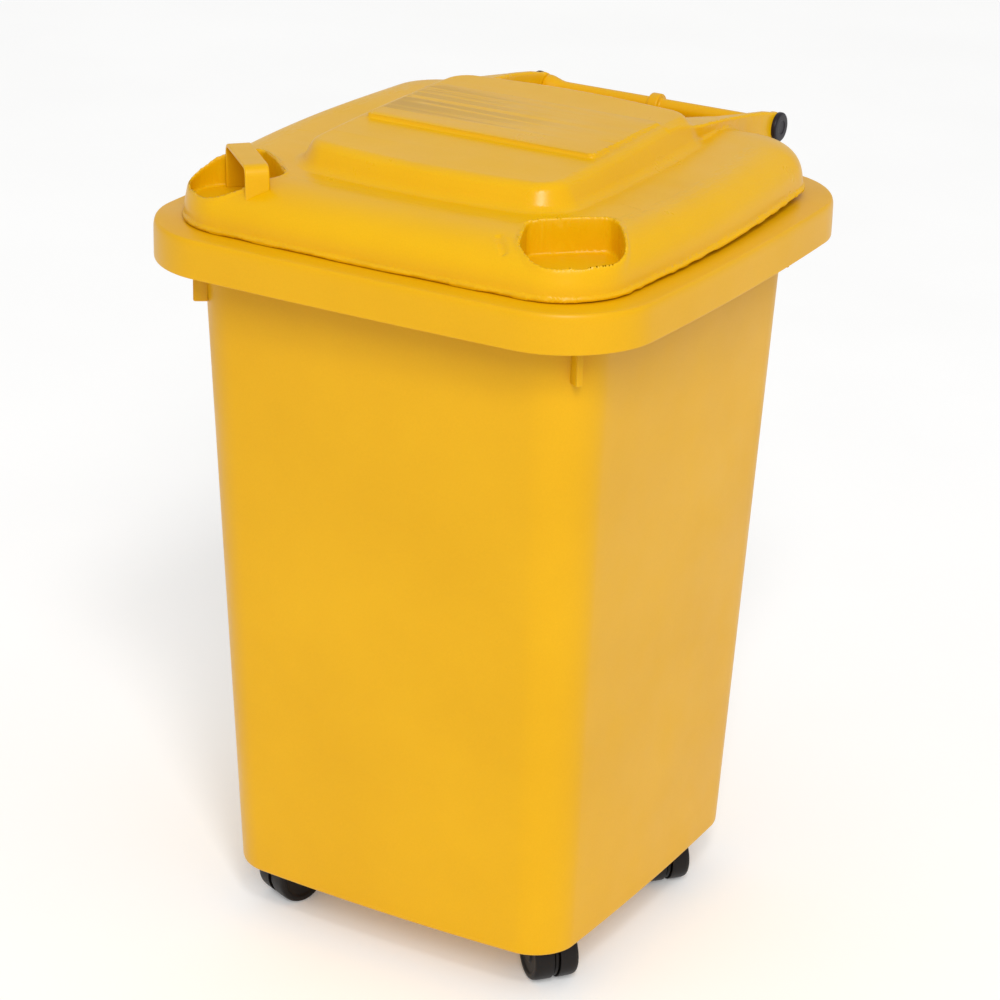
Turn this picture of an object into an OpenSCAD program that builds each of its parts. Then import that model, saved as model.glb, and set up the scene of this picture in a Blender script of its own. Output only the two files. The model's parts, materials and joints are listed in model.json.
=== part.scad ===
// Wheeled waste bin, 50 litre class: a tapered tub with a rolled rim and a rear handle bar,
// a domed lid that swings on two pins in the ends of the bar, and four twin-wheel casters.
// Millimetres, +Z up. The origin is on the floor, under the centre of the whole footprint.

/* [Tub] */
// Width of the rim, between its straight sides
rim_w = 390; // [380:1:400]
// Depth of the rim, between its straight sides
rim_d = 401.4; // [392:0.1:412]
// Corner radius of the rim
rim_r = 65; // [55:1:75]
// Height of the rim's top face above the floor
rim_top = 558.5; // [550:0.5:580]
// Height of the skirt that hangs from the rim
skirt_h = 28.5; // [20:0.5:36]
// Width of the tub just under the rim
top_w = 327.6; // [320:0.1:332]
// Depth of the tub just under the rim
top_d = 335.2; // [328:0.1:340]
// Corner radius of the tub just under the rim
top_r = 40; // [34:1:46]
// Width of the tub at its foot
foot_w = 288.6; // [280:0.1:296]
// Depth of the tub at its foot
foot_d = 287.2; // [280:0.1:294]
// Corner radius of the tub at its foot
foot_r = 31; // [26:1:36]
// Height of the tub's foot above the floor
foot_z = 39; // [36:0.5:42]
// Wall thickness of the tub and the lid
wall = 3; // [2.5:0.1:3.5]

/* [Handle and hinge] */
// Distance of the handle bar behind the tub's centre
bar_y = 240; // [238:1:246]
// Height of the handle bar's axis
bar_z = 580; // [579:0.5:582]
// Radius of the handle bar
bar_r = 6.3; // [6:0.1:7]
// Radius of the collars on the handle bar
collar_r = 9.8; // [9:0.1:10.5]
// Outer face of the end collars, from the centre line
collar_x = 99.5; // [97:0.5:101]
// Radius of the hinge pins
pin_r = 3.5; // [3:0.1:4]
// Radius of the lid's hinge eyes
eye_r = 11; // [10.5:0.1:11.5]
// Width of each hinge eye
eye_w = 5.5; // [5:0.5:6.5]

/* [Lid] */
// Width of the lid at its lower edge, between its straight sides
lid_w = 347; // [343:1:348]
// Depth of the lid at its lower edge, between its straight sides
lid_d = 355.2; // [352:0.1:356]
// Corner radius of the lid at its lower edge
lid_r = 45; // [42:1:48]
// Height of the shelf round the lid's raised panel
shelf_h = 35.5; // [34:0.5:36.5]
// Slope of the lid, rising to the rear, in degrees
lid_tilt = 1.09; // [1:0.01:1.2]
// Height of the lid's lower edge above the floor, at the tub's centre
lid_z = 562.5; // [562.4:0.1:564]

/* [Casters] */
// Distance of each swivel from the centre line, sideways
swivel_x = 108.5; // [105:0.5:109]
// Distance of the front swivels from the tub's centre
swivel_front = 92; // [86:0.5:96]
// Distance of the rear swivels from the tub's centre
swivel_rear = 88; // [80:0.5:96]
// Radius of the caster wheels
wheel_r = 20; // [19:0.5:20]
// Width of each caster wheel
wheel_w = 15; // [13:0.5:15]
// Width of the web between a caster's two wheels
web_w = 3.6; // [3:0.1:4]
// Distance from the swivel axis back to the wheels' axle
trail = 12; // [11:0.5:12.5]

/* [Hidden] */

YELLOW = "#F2B41C";
BLACK = "#262220";
STEEL = "#B9BCC0";

ROUND = 96;       // facets of a true circle
SMALL = 48;       // facets of a small true circle
CORNER_STEPS = 6; // segments in each rounded corner of an outline
SIDE_STEPS = 4;   // segments along each bowed side of an outline
EPS = 0.01;

// Bow of the straight sides: [front and back, left and right]
rim_bow = [3.7, 7.8];
top_bow = [2, 2];
foot_bow = [5.3, 3.7];
lid_bow = [3.9, 8.7];

// The tub's floor, raised inside the foot so that the casters are half hidden
floor_under = 54;
floor_top = 58;
boss_r = 9;
boss_low = 51;
boss_high = 71;
stem_r = 4;
stem_top = 68;
fit_gap = 0.02;   // radial gap of a part that is pressed in
run_gap = 0.06;   // radial gap of a part that turns
free_gap = 0.4;   // gap between faces that pass each other

// The lip inside the rim, under the lid
lip_w = 334;
lip_d = 341;
lip_r = 40;
lip_h = 8;

// Along the hinge, outwards: collar, eye, pin head; each pin reaches in to pin_x_in
eye_x0 = collar_x + free_gap;
eye_x1 = eye_x0 + eye_w;
head_x0 = eye_x1 + free_gap;
head_h = 3.8;
head_r = 11.5;
pin_x_in = 70;

// Where the tub's centre lies when the whole footprint is centred on the origin
front_reach = rim_d / 2 + rim_bow[0];
rear_reach = bar_y + head_r;
tub_y = (front_reach - rear_reach) / 2;

lid_y = -2.2;      // the lid's centre, from the tub's centre
crown_front = 52;  // how far in from the front and back the lid reaches the shelf
crown_side = 32;   // how far in from the sides it does
crown_power = 2.7; // roundness of the lid's edge

// A bowed rounded rectangle, anticlockwise. bow is [front and back, left and right].
function corner_points(cx, cy, r, a0) =
    [for (i = [0:CORNER_STEPS]) let (a = a0 + 90 * i / CORNER_STEPS) [cx + r * cos(a), cy + r * sin(a)]];
function side_points(p, q) = [for (i = [1:SIDE_STEPS - 1]) p + (q - p) * i / SIDE_STEPS];
function plain_outline(w, d, r) =
    let (
        x = w / 2 - r,
        y = d / 2 - r,
        c0 = corner_points(x, -y, r, -90),
        c1 = corner_points(x, y, r, 0),
        c2 = corner_points(-x, y, r, 90),
        c3 = corner_points(-x, -y, r, 180),
        n = CORNER_STEPS
    )
    concat(c0, side_points(c0[n], c1[0]), c1, side_points(c1[n], c2[0]),
           c2, side_points(c2[n], c3[0]), c3, side_points(c3[n], c0[0]));
function bowed(p, w, d, bow) =
    let (u = 2 * p[0] / w, v = 2 * p[1] / d)
    [p[0] + bow[1] * sign(u) * (1 - v * v) * pow(abs(u), 4),
     p[1] + bow[0] * sign(v) * (1 - u * u) * pow(abs(v), 4)];
function outline(w, d, r, bow) = [for (p = plain_outline(w, d, r)) bowed(p, w, d, bow)];

// A thin slice of an outline, grown or shrunk by inset, for lofting
module slice(z, w, d, r, bow, inset = 0) {
    translate([0, 0, z])
        linear_extrude(EPS)
            polygon(outline(w - 2 * inset, d - 2 * inset, max(r - inset, 4), bow));
}

module plate(z0, z1, w, d, r, bow, inset = 0) {
    translate([0, 0, z0])
        linear_extrude(z1 - z0)
            polygon(outline(w - 2 * inset, d - 2 * inset, max(r - inset, 4), bow));
}

module along_x(x0, x1, r, y = bar_y, z = bar_z) {
    translate([x0, y, z])
        rotate([0, 90, 0])
            cylinder(h = x1 - x0, r = r, $fn = ROUND);
}

// Tub ------------------------------------------------------------------------

function tub_inset(z) = (z - foot_z) / (rim_top - skirt_h - foot_z);
function tub_w(z) = foot_w + (top_w - foot_w) * tub_inset(z);
function tub_d(z) = foot_d + (top_d - foot_d) * tub_inset(z);
function tub_r(z) = foot_r + (top_r - foot_r) * tub_inset(z);
function tub_bow(z) = foot_bow + (top_bow - foot_bow) * tub_inset(z);

module tub_slice(z, inset) {
    slice(z, tub_w(z), tub_d(z), tub_r(z), tub_bow(z), inset);
}

module tub_shell() {
    edge = 4;
    difference() {
        hull() {
            tub_slice(foot_z, edge / 2);
            tub_slice(foot_z + edge, 0);
            tub_slice(rim_top - wall, 0);
        }
        hull() {
            tub_slice(floor_top, wall);
            tub_slice(rim_top + 1, wall);
        }
        hull() {
            tub_slice(foot_z - 1, wall);
            tub_slice(floor_under, wall);
        }
    }
}

module rim_body() {
    roll = 6; // rounding of the rim's top edge
    hull() {
        slice(rim_top - skirt_h, rim_w, rim_d, rim_r, rim_bow);
        for (a = [0:30:90])
            slice(rim_top - EPS - roll + roll * sin(a), rim_w, rim_d, rim_r, rim_bow, roll - roll * cos(a));
    }
}

module rim() {
    difference() {
        rim_body();
        plate(rim_top - skirt_h - 1, rim_top - wall, rim_w, rim_d, rim_r, rim_bow, wall);
        plate(rim_top - wall - 1, rim_top + 1, top_w, top_d, top_r, top_bow, wall);
    }
    difference() {
        plate(rim_top - 1, rim_top + lip_h, lip_w, lip_d, lip_r, rim_bow);
        plate(rim_top - 2, rim_top + lip_h + 1, lip_w, lip_d, lip_r, rim_bow, wall);
    }
}

// Small lug in each corner, under the rim
module corner_lug() {
    lug_angle = 35;
    lug_w = 4.2;
    lug_h = 60;
    reach = 9;
    sunk = 5;
    root = top_r * sqrt(0.5);
    translate([top_w / 2 - top_r + root, -top_d / 2 + top_r - root, rim_top - 1 - lug_h])
        rotate([0, 0, -lug_angle])
            translate([-sunk, -lug_w / 2, 0])
                cube([reach + sunk, lug_w, lug_h]);
}

module corner_lugs() {
    for (sx = [0, 1], sy = [0, 1])
        mirror([sx, 0, 0])
            mirror([0, sy, 0])
                corner_lug();
}

// Web that carries the handle bar from the rear of the rim
module bar_web(x, w) {
    y_rim = rim_d / 2;
    y_wall = top_d / 2 - 1;
    translate([x - w / 2, 0, 0])
        rotate([90, 0, 90])
            linear_extrude(w)
                polygon([
                    [y_wall, rim_top - 60],
                    [y_rim, rim_top - skirt_h - 4],
                    [bar_y + 2, bar_z - collar_r + 1],
                    [bar_y, bar_z],
                    [bar_y - collar_r + 1, bar_z + 2],
                    [y_rim, rim_top - 1],
                    [y_wall, rim_top - 1]
                ]);
}

module handle() {
    end_w = 4;
    flare = 8;
    mid_w = 9;
    web = 6;
    for (side = [0, 1])
        mirror([side, 0, 0]) {
            bar_web(collar_x - end_w - web / 2, web);
            along_x(collar_x - end_w, collar_x, collar_r);
            translate([collar_x - end_w - flare, bar_y, bar_z])
                rotate([0, 90, 0])
                    cylinder(h = flare, r1 = bar_r, r2 = collar_r, $fn = ROUND);
        }
    bar_web(0, web);
    along_x(-mid_w / 2, mid_w / 2, collar_r);
    along_x(-collar_x, collar_x, bar_r);
}

module at_swivels() {
    for (sx = [-1, 1], y = [-swivel_front, swivel_rear])
        translate([sx * swivel_x, y, 0])
            children();
}

module tub() {
    color(YELLOW)
    translate([0, tub_y, 0])
    difference() {
        union() {
            tub_shell();
            rim();
            intersection() {
                difference() {
                    corner_lugs();
                    plate(rim_top - 70, rim_top, top_w, top_d, top_r, top_bow, wall);
                }
                plate(rim_top - 70, rim_top - 1, rim_w, rim_d, rim_r, rim_bow, 1);
            }
            difference() {
                handle();
                plate(rim_top - 70, rim_top, top_w, top_d, top_r, top_bow, wall);
            }
            at_swivels()
                translate([0, 0, boss_low])
                    cylinder(h = boss_high - boss_low, r = boss_r, $fn = SMALL);
        }
        at_swivels()
            translate([0, 0, boss_low - 1])
                cylinder(h = stem_top + 0.5 - boss_low + 1, r = stem_r + fit_gap, $fn = SMALL);
        for (side = [0, 1])
            mirror([side, 0, 0])
                along_x(pin_x_in, collar_x + 1, pin_r + fit_gap);
    }
}

// Lid ------------------------------------------------------------------------

// Height of the lid's crowned edge; u runs from 0 at its lower edge to 1 at the shelf
function crown(u) = shelf_h * pow(1 - pow(1 - u, crown_power), 1 / crown_power);
CROWN_U = [0.006, 0.04, 0.12, 0.25, 0.46, 0.73, 1];

panel_slope = 0.8;  // the raised plateau rises a little more than the lid
plateau_w = 224;
plateau_d = 228;
plateau_y = 4;
plateau_r = 28;
plateau_h = 19;
plateau_draft = 11; // the plateau's wall leans in by this much
plateau_bow = [7, 3];

label_w = 190;
label_y0 = -32;
label_d = 100;
label_h = 3;

// Finger pocket in a front corner, as seen on the right-hand side, in the lid's frame
pocket = [[111, -163], [98, -130], [106, -122], [127, -103], [143, -92], [153, -98], [171, -121],
          [174, -131], [172.5, -143], [160, -160.5], [144.5, -171], [134, -173.8], [124, -171.5]];
pocket_floor = 11.5;

module lid_space() {
    translate([0, tub_y, lid_z])
        rotate([lid_tilt, 0, 0])
            translate([0, lid_y, 0])
                children();
}

module lid_dome(inset, drop) {
    hull() {
        slice(-1 + (inset > 0 ? -1 : 1), lid_w, lid_d, lid_r, lid_bow, inset);
        for (u = CROWN_U)
            slice(crown(u) - drop, lid_w - 2 * u * crown_side, lid_d - 2 * u * crown_front,
                  lid_r - u * crown_side, lid_bow, inset);
    }
}

module plateau(inset, drop) {
    hull() {
        translate([0, plateau_y, 0])
            slice(shelf_h - 6 - drop, plateau_w, plateau_d, plateau_r, plateau_bow, inset - 2);
        translate([0, plateau_y, shelf_h + plateau_h - drop])
            rotate([panel_slope, 0, 0])
                slice(0, plateau_w, plateau_d, plateau_r, plateau_bow, plateau_draft + inset);
    }
}

// Flat pad for a label, proud at the front and flush at the back
module label_pad() {
    top = shelf_h + plateau_h + label_h;
    translate([-label_w / 2, label_y0, top])
        rotate([90, 0, 90])
            linear_extrude(label_w)
                polygon([[0, 0], [label_d, 0], [label_d, -2.2], [0, -label_h - 2]]);
}

module pocket_prism(z0, z1, side) {
    translate([0, 0, z0])
        linear_extrude(z1 - z0)
            mirror([side < 0 ? 1 : 0, 0])
                polygon(pocket);
}

// Boss round the pocket, wider by the wall's thickness
module pocket_block(side) {
    centre = [132, -128];
    grow = 1.09;
    translate([0, 0, pocket_floor - wall])
        linear_extrude(shelf_h)
            mirror([side < 0 ? 1 : 0, 0])
                polygon([for (p = pocket) centre + (p - centre) * grow]);
}

// Arm from the plateau back to the hinge eye, in the tub's frame
arm_front = 70;
arm_side = [
    [arm_front, 616], [100, 612], [120, 610], [145, 607.3], [176, 602.8], [196, 600], [220, 596],
    [bar_y, bar_z + eye_r], [bar_y, bar_z - eye_r + 1], [bar_y - 14, bar_z - 8], [198, 577],
    [172, 584], [160, 594], [arm_front, 605]
];
arm_plan = [
    [97, arm_front], [112, arm_front], [112, 130], [eye_x1, 185], [eye_x1, 260],
    [eye_x0, 260], [eye_x0, 190], [97, 150]
];

module hinge_arm() {
    intersection() {
        translate([90, 0, 0])
            rotate([90, 0, 90])
                linear_extrude(30)
                    polygon(arm_side);
        translate([0, 0, bar_z - 40])
            linear_extrude(100)
                polygon(arm_plan);
    }
    along_x(eye_x0, eye_x1, eye_r);
}

module lid() {
    color(YELLOW)
    difference() {
        union() {
            lid_space()
                difference() {
                    union() {
                        difference() {
                            union() {
                                lid_dome(0, 0);
                                plateau(0, 0);
                                label_pad();
                            }
                            lid_dome(wall, wall);
                            plateau(wall, wall);
                        }
                        intersection() {
                            lid_dome(0, 0);
                            union() {
                                pocket_block(1);
                                pocket_block(-1);
                            }
                        }
                    }
                    pocket_prism(pocket_floor, 60, 1);
                    pocket_prism(pocket_floor, 60, -1);
                }
            translate([0, tub_y, 0])
                for (side = [0, 1])
                    mirror([side, 0, 0])
                        hinge_arm();
        }
        translate([0, tub_y, 0])
            for (side = [0, 1])
                mirror([side, 0, 0])
                    along_x(eye_x0 - 1, eye_x1 + 1, pin_r + run_gap);
    }
}

// Lifting strap over the left-hand pocket ------------------------------------

strap_w = 17.5;
strap_t = 3;
strap_front = [-98, -165];
strap_back = [-155.5, -108];
strap_foot = [24, 11.2]; // height of the front foot, on the shelf, and of the back foot, in the pocket
strap_top = [50, 45]; // height of the top over the front foot and over the back foot
strap_bend = 4;

module grip_strap() {
    run = norm(strap_back - strap_front);
    angle = atan2(strap_back[1] - strap_front[1], strap_back[0] - strap_front[0]);
    color(YELLOW)
    lid_space()
        translate([strap_front[0], strap_front[1], 0])
            rotate([90, 0, angle])
                translate([0, 0, -strap_w / 2])
                    linear_extrude(strap_w)
                        polygon([
                            [0, strap_foot[0]],
                            [0, strap_top[0] - strap_bend],
                            [strap_bend, strap_top[0]],
                            [run - strap_bend, strap_top[1]],
                            [run, strap_top[1] - strap_bend],
                            [run, strap_foot[1]],
                            [run - strap_t, strap_foot[1]],
                            [run - strap_t, strap_top[1] - strap_bend - 1],
                            [run - strap_bend - 1, strap_top[1] - strap_t],
                            [strap_bend + 1, strap_top[0] - strap_t],
                            [strap_t, strap_top[0] - strap_bend - 1],
                            [strap_t, strap_foot[0]]
                        ]);
}

// Hinge pins -----------------------------------------------------------------

module hinge_pin(side) {
    color(BLACK)
    translate([0, tub_y + bar_y, bar_z])
        rotate([0, side * 90, 0])
            rotate_extrude($fn = ROUND)
                polygon([
                    [0, pin_x_in + 0.5], [pin_r - 0.6, pin_x_in + 0.5], [pin_r, pin_x_in + 1.5],
                    [pin_r, head_x0], [head_r - 0.5, head_x0], [head_r, head_x0 + 0.6],
                    [head_r, head_x0 + 2.4], [head_r - 0.8, head_x0 + 3.6], [head_r - 2.2, head_x0 + head_h],
                    [0, head_x0 + head_h]
                ]);
}

// Casters --------------------------------------------------------------------
// Each caster's own frame has its origin on the floor under the swivel axis, and the
// wheels' axle lies trail behind it, on -X.

// [sideways, front to back, direction in which the wheels trail]
CASTERS = [
    [-swivel_x, -swivel_front, -112],
    [swivel_x, -swivel_front, -39],
    [-swivel_x, swivel_rear, 160],
    [swivel_x, swivel_rear, -40]
];

module caster_space(i) {
    c = CASTERS[i];
    translate([c[0], tub_y + c[1], 0])
        rotate([0, 0, c[2] + 180])
            children();
}

hood_top = boss_low - 1.4;
hood_in = wheel_r + 0.9;
hood_out = wheel_r + 3.4;
hood_mid = (hood_in + hood_out) / 2;
hood_w = web_w + 2 * (free_gap + wheel_w);
neck_r = 8;
web_r = wheel_r - 1.2;
stem_low = 41.5;
axle_r = 2.5;
axle_half = web_w / 2 + wheel_w - 4;
shoulder = 4;  // rounding of the wheels' outer edges

module across(h, r, segments = SMALL) {
    rotate([90, 0, 0])
        translate([0, 0, -h / 2])
            cylinder(h = h, r = r, $fn = segments);
}

module caster_stem(i) {
    color(STEEL)
    caster_space(i) {
        translate([0, 0, stem_low])
            cylinder(h = stem_top - stem_low, r = stem_r, $fn = SMALL);
        translate([0, 0, hood_top + free_gap])
            cylinder(h = boss_low - hood_top - free_gap - 0.1, r = neck_r, $fn = SMALL);
    }
}

// Part of a ring round the axle, over the tops and leading sides of the wheels
module fender() {
    a0 = -27;
    a1 = 96;
    steps = 12;
    rotate([90, 0, 0])
        translate([0, 0, -hood_w / 2])
            linear_extrude(hood_w)
                polygon(concat(
                    [for (i = [0:steps]) let (a = a0 + (a1 - a0) * i / steps) hood_out * [cos(a), sin(a)]],
                    [for (i = [steps:-1:0]) let (a = a0 + (a1 - a0) * i / steps) hood_in * [cos(a), sin(a)]]
                ));
}

module caster_neck() {
    neck_low = wheel_r + 8;
    difference() {
        translate([0, 0, neck_low])
            cylinder(h = hood_top - neck_low, r = neck_r, $fn = SMALL);
        translate([-trail, 0, wheel_r])
            across(hood_w, hood_mid, ROUND);
    }
}

module caster_hood(i) {
    color(BLACK)
    caster_space(i)
        difference() {
            union() {
                translate([-trail, 0, wheel_r]) {
                    fender();
                    across(web_w, web_r, ROUND);
                }
                translate([-trail, -web_w / 2, wheel_r])
                    cube([trail + shoulder, web_w, hood_mid]);
                caster_neck();
            }
            translate([0, 0, stem_low - free_gap])
                cylinder(h = hood_top, r = stem_r + run_gap, $fn = SMALL);
            translate([-trail, 0, wheel_r])
                across(2 * web_w, axle_r + fit_gap);
        }
}

module caster_axle(i) {
    color(STEEL)
    caster_space(i)
        translate([-trail, 0, wheel_r])
            across(2 * axle_half, axle_r);
}

// side is 1 for the wheel on the caster's own +Y side and -1 for the other
module caster_wheel(i, side) {
    inner = web_w / 2 + free_gap;
    outer = inner + wheel_w;
    face_r = wheel_r - shoulder;
    dish = 1;
    hub_r = 4;
    color(BLACK)
    caster_space(i)
        translate([-trail, 0, wheel_r])
            rotate([-side * 90, 0, 0])
                rotate_extrude($fn = ROUND)
                    polygon(concat(
                        [[axle_r + run_gap, inner], [wheel_r - 0.6, inner], [wheel_r, inner + 0.6]],
                        [for (a = [0:18:90]) [face_r + shoulder * cos(a), outer - shoulder + shoulder * sin(a)]],
                        [[face_r - dish, outer], [face_r - 2 * dish, outer - dish], [hub_r + dish, outer - dish],
                         [hub_r, outer], [0, outer], [0, axle_half + 0.5], [axle_r + run_gap, axle_half + 0.5]]
                    ));
}

tub();
lid();
grip_strap();
hinge_pin(-1);  // hinge_pin_left
hinge_pin(1);  // hinge_pin_right
caster_stem(0);  // caster_fl_stem
caster_hood(0);  // caster_fl_hood
caster_axle(0);  // caster_fl_axle
caster_wheel(0, 1);  // caster_fl_wheel_a
caster_wheel(0, -1);  // caster_fl_wheel_b
caster_stem(1);  // caster_fr_stem
caster_hood(1);  // caster_fr_hood
caster_axle(1);  // caster_fr_axle
caster_wheel(1, 1);  // caster_fr_wheel_a
caster_wheel(1, -1);  // caster_fr_wheel_b
caster_stem(2);  // caster_rl_stem
caster_hood(2);  // caster_rl_hood
caster_axle(2);  // caster_rl_axle
caster_wheel(2, 1);  // caster_rl_wheel_a
caster_wheel(2, -1);  // caster_rl_wheel_b
caster_stem(3);  // caster_rr_stem
caster_hood(3);  // caster_rr_hood
caster_axle(3);  // caster_rr_axle
caster_wheel(3, 1);  // caster_rr_wheel_a
caster_wheel(3, -1);  // caster_rr_wheel_b
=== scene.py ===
import json
import math

import bmesh
import bpy
import numpy as np
from mathutils import Matrix, Vector


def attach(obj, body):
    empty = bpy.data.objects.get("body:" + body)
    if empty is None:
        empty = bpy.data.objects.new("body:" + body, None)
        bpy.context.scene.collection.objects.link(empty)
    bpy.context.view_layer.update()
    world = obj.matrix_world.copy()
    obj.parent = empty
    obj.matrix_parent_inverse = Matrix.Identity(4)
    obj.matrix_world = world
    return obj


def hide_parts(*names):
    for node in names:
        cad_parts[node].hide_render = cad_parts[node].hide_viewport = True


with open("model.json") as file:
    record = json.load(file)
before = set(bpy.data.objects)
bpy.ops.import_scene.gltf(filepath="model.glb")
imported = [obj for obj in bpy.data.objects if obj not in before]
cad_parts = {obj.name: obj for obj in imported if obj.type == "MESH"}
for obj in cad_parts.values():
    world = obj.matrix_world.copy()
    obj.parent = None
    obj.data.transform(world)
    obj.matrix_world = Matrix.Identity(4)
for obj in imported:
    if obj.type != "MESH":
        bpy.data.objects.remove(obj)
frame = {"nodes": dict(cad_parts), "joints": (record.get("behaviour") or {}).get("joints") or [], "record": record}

SCENE = bpy.context.scene
MM = 0.001
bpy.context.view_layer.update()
HINGE = next(j for j in frame["joints"] if j["child"] == "lid")["pos_m"]
RIM_TOP = 558.5
HINGE_BACK = 240.0                     # how far the hinge lies behind the tub's centre
TUB_Y = HINGE[1] / MM - HINGE_BACK
HINGE_Z = HINGE[2] / MM
LID_Z, LID_Y, LID_TILT = 562.5, -2.2, math.radians(1.09)


# Camera, floor and light ----------------------------------------------------------------

def add_camera():
    azimuth, elevation, roll = math.radians(30.089), math.radians(22.149), math.radians(1.623)
    back = Vector((math.sin(azimuth) * math.cos(elevation), -math.cos(azimuth) * math.cos(elevation),
                   math.sin(elevation)))
    level = Vector((math.cos(azimuth), math.sin(azimuth), 0))
    up = back.cross(level)
    right = level * math.cos(roll) + up * math.sin(roll)
    up = up * math.cos(roll) - level * math.sin(roll)
    target = level * 0.00592 + Vector((0, TUB_Y * MM, 0.32516))
    data = bpy.data.cameras.new("camera")
    data.sensor_width, data.lens = 36.0, 112.65
    data.clip_end = 50.0
    camera = bpy.data.objects.new("camera", data)
    camera.matrix_world = Matrix.Translation(target + back * 2.37003) @ Matrix(
        (right, up, back)).transposed().to_4x4()
    SCENE.collection.objects.link(camera)
    SCENE.camera = camera


def add_area(name, position, target, size, power):
    data = bpy.data.lights.new(name, "AREA")
    data.shape, data.size, data.energy = "DISK", size, power
    light = bpy.data.objects.new(name, data)
    light.location = position
    light.rotation_euler = (Vector(target) - Vector(position)).to_track_quat("-Z", "Y").to_euler()
    SCENE.collection.objects.link(light)


def add_stage():
    mesh = bpy.data.meshes.new("floor")
    bm = bmesh.new()
    bmesh.ops.create_grid(bm, x_segments=8, y_segments=8, size=9.0)
    bm.to_mesh(mesh)
    bm.free()
    floor = bpy.data.objects.new("floor", mesh)
    SCENE.collection.objects.link(floor)
    paper = bpy.data.materials.new("floor_paper")
    paper.use_nodes = True
    tree = paper.node_tree
    shader = tree.nodes["Principled BSDF"]
    coords = node(tree, "ShaderNodeTexCoord", -900, 0).outputs["Object"]
    tone = noise(tree, coords, 3.0, 3.0, 0.5, -500, 0)
    tree.links.new(ramp(tree, tone, [(0.3, (0.91, 0.91, 0.905)), (0.7, (0.93, 0.93, 0.925))], -280, 0),
                   shader.inputs["Base Color"])
    shader.inputs["Roughness"].default_value = 0.9
    shader.inputs["Specular IOR Level"].default_value = 0.1
    shader.inputs["Emission Color"].default_value = (1, 1, 1, 1)
    shader.inputs["Emission Strength"].default_value = 0.12
    mesh.materials.append(paper)
    world = bpy.data.worlds.new("studio")
    world.use_nodes = True
    world.node_tree.nodes["Background"].inputs["Color"].default_value = (1, 1, 1, 1)
    world.node_tree.nodes["Background"].inputs["Strength"].default_value = 0.66
    SCENE.world = world
    SCENE.view_settings.view_transform = "Standard"
    data = bpy.data.lights.new("sun", "SUN")
    data.energy, data.angle = 1.25, math.radians(22)
    sun = bpy.data.objects.new("sun", data)
    azimuth, elevation = math.radians(36), math.radians(36)
    towards = Vector((math.sin(azimuth) * math.cos(elevation), -math.cos(azimuth) * math.cos(elevation),
                      math.sin(elevation)))
    sun.rotation_euler = towards.to_track_quat("Z", "Y").to_euler()
    SCENE.collection.objects.link(sun)
    add_area("softbox", (1.1, -1.5, 2.3), (0, 0, 0.5), 0.4, 13)


# Materials -----------------------------------------------------------------------------

def node(tree, kind, x, y, **values):
    n = tree.nodes.new(kind)
    n.location = (x, y)
    for key, value in values.items():
        if hasattr(n, key):
            setattr(n, key, value)
        else:
            n.inputs[key.replace("_", " ")].default_value = value
    return n


def noise(tree, coords, scale, detail, rough, x, y, stretch=(1, 1, 1)):
    mapping = node(tree, "ShaderNodeMapping", x - 200, y)
    mapping.inputs["Scale"].default_value = stretch
    tree.links.new(coords, mapping.inputs["Vector"])
    n = node(tree, "ShaderNodeTexNoise", x, y, Scale=scale, Detail=detail, Roughness=rough)
    tree.links.new(mapping.outputs["Vector"], n.inputs["Vector"])
    return n.outputs["Fac"]


def ramp(tree, source, stops, x, y):
    n = node(tree, "ShaderNodeValToRGB", x, y)
    elements = n.color_ramp.elements
    while len(elements) < len(stops):
        elements.new(0.5)
    for element, (place, colour) in zip(elements, stops):
        element.position = place
        element.color = (*colour, 1)
    tree.links.new(source, n.inputs["Fac"])
    return n.outputs["Color"]


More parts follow.
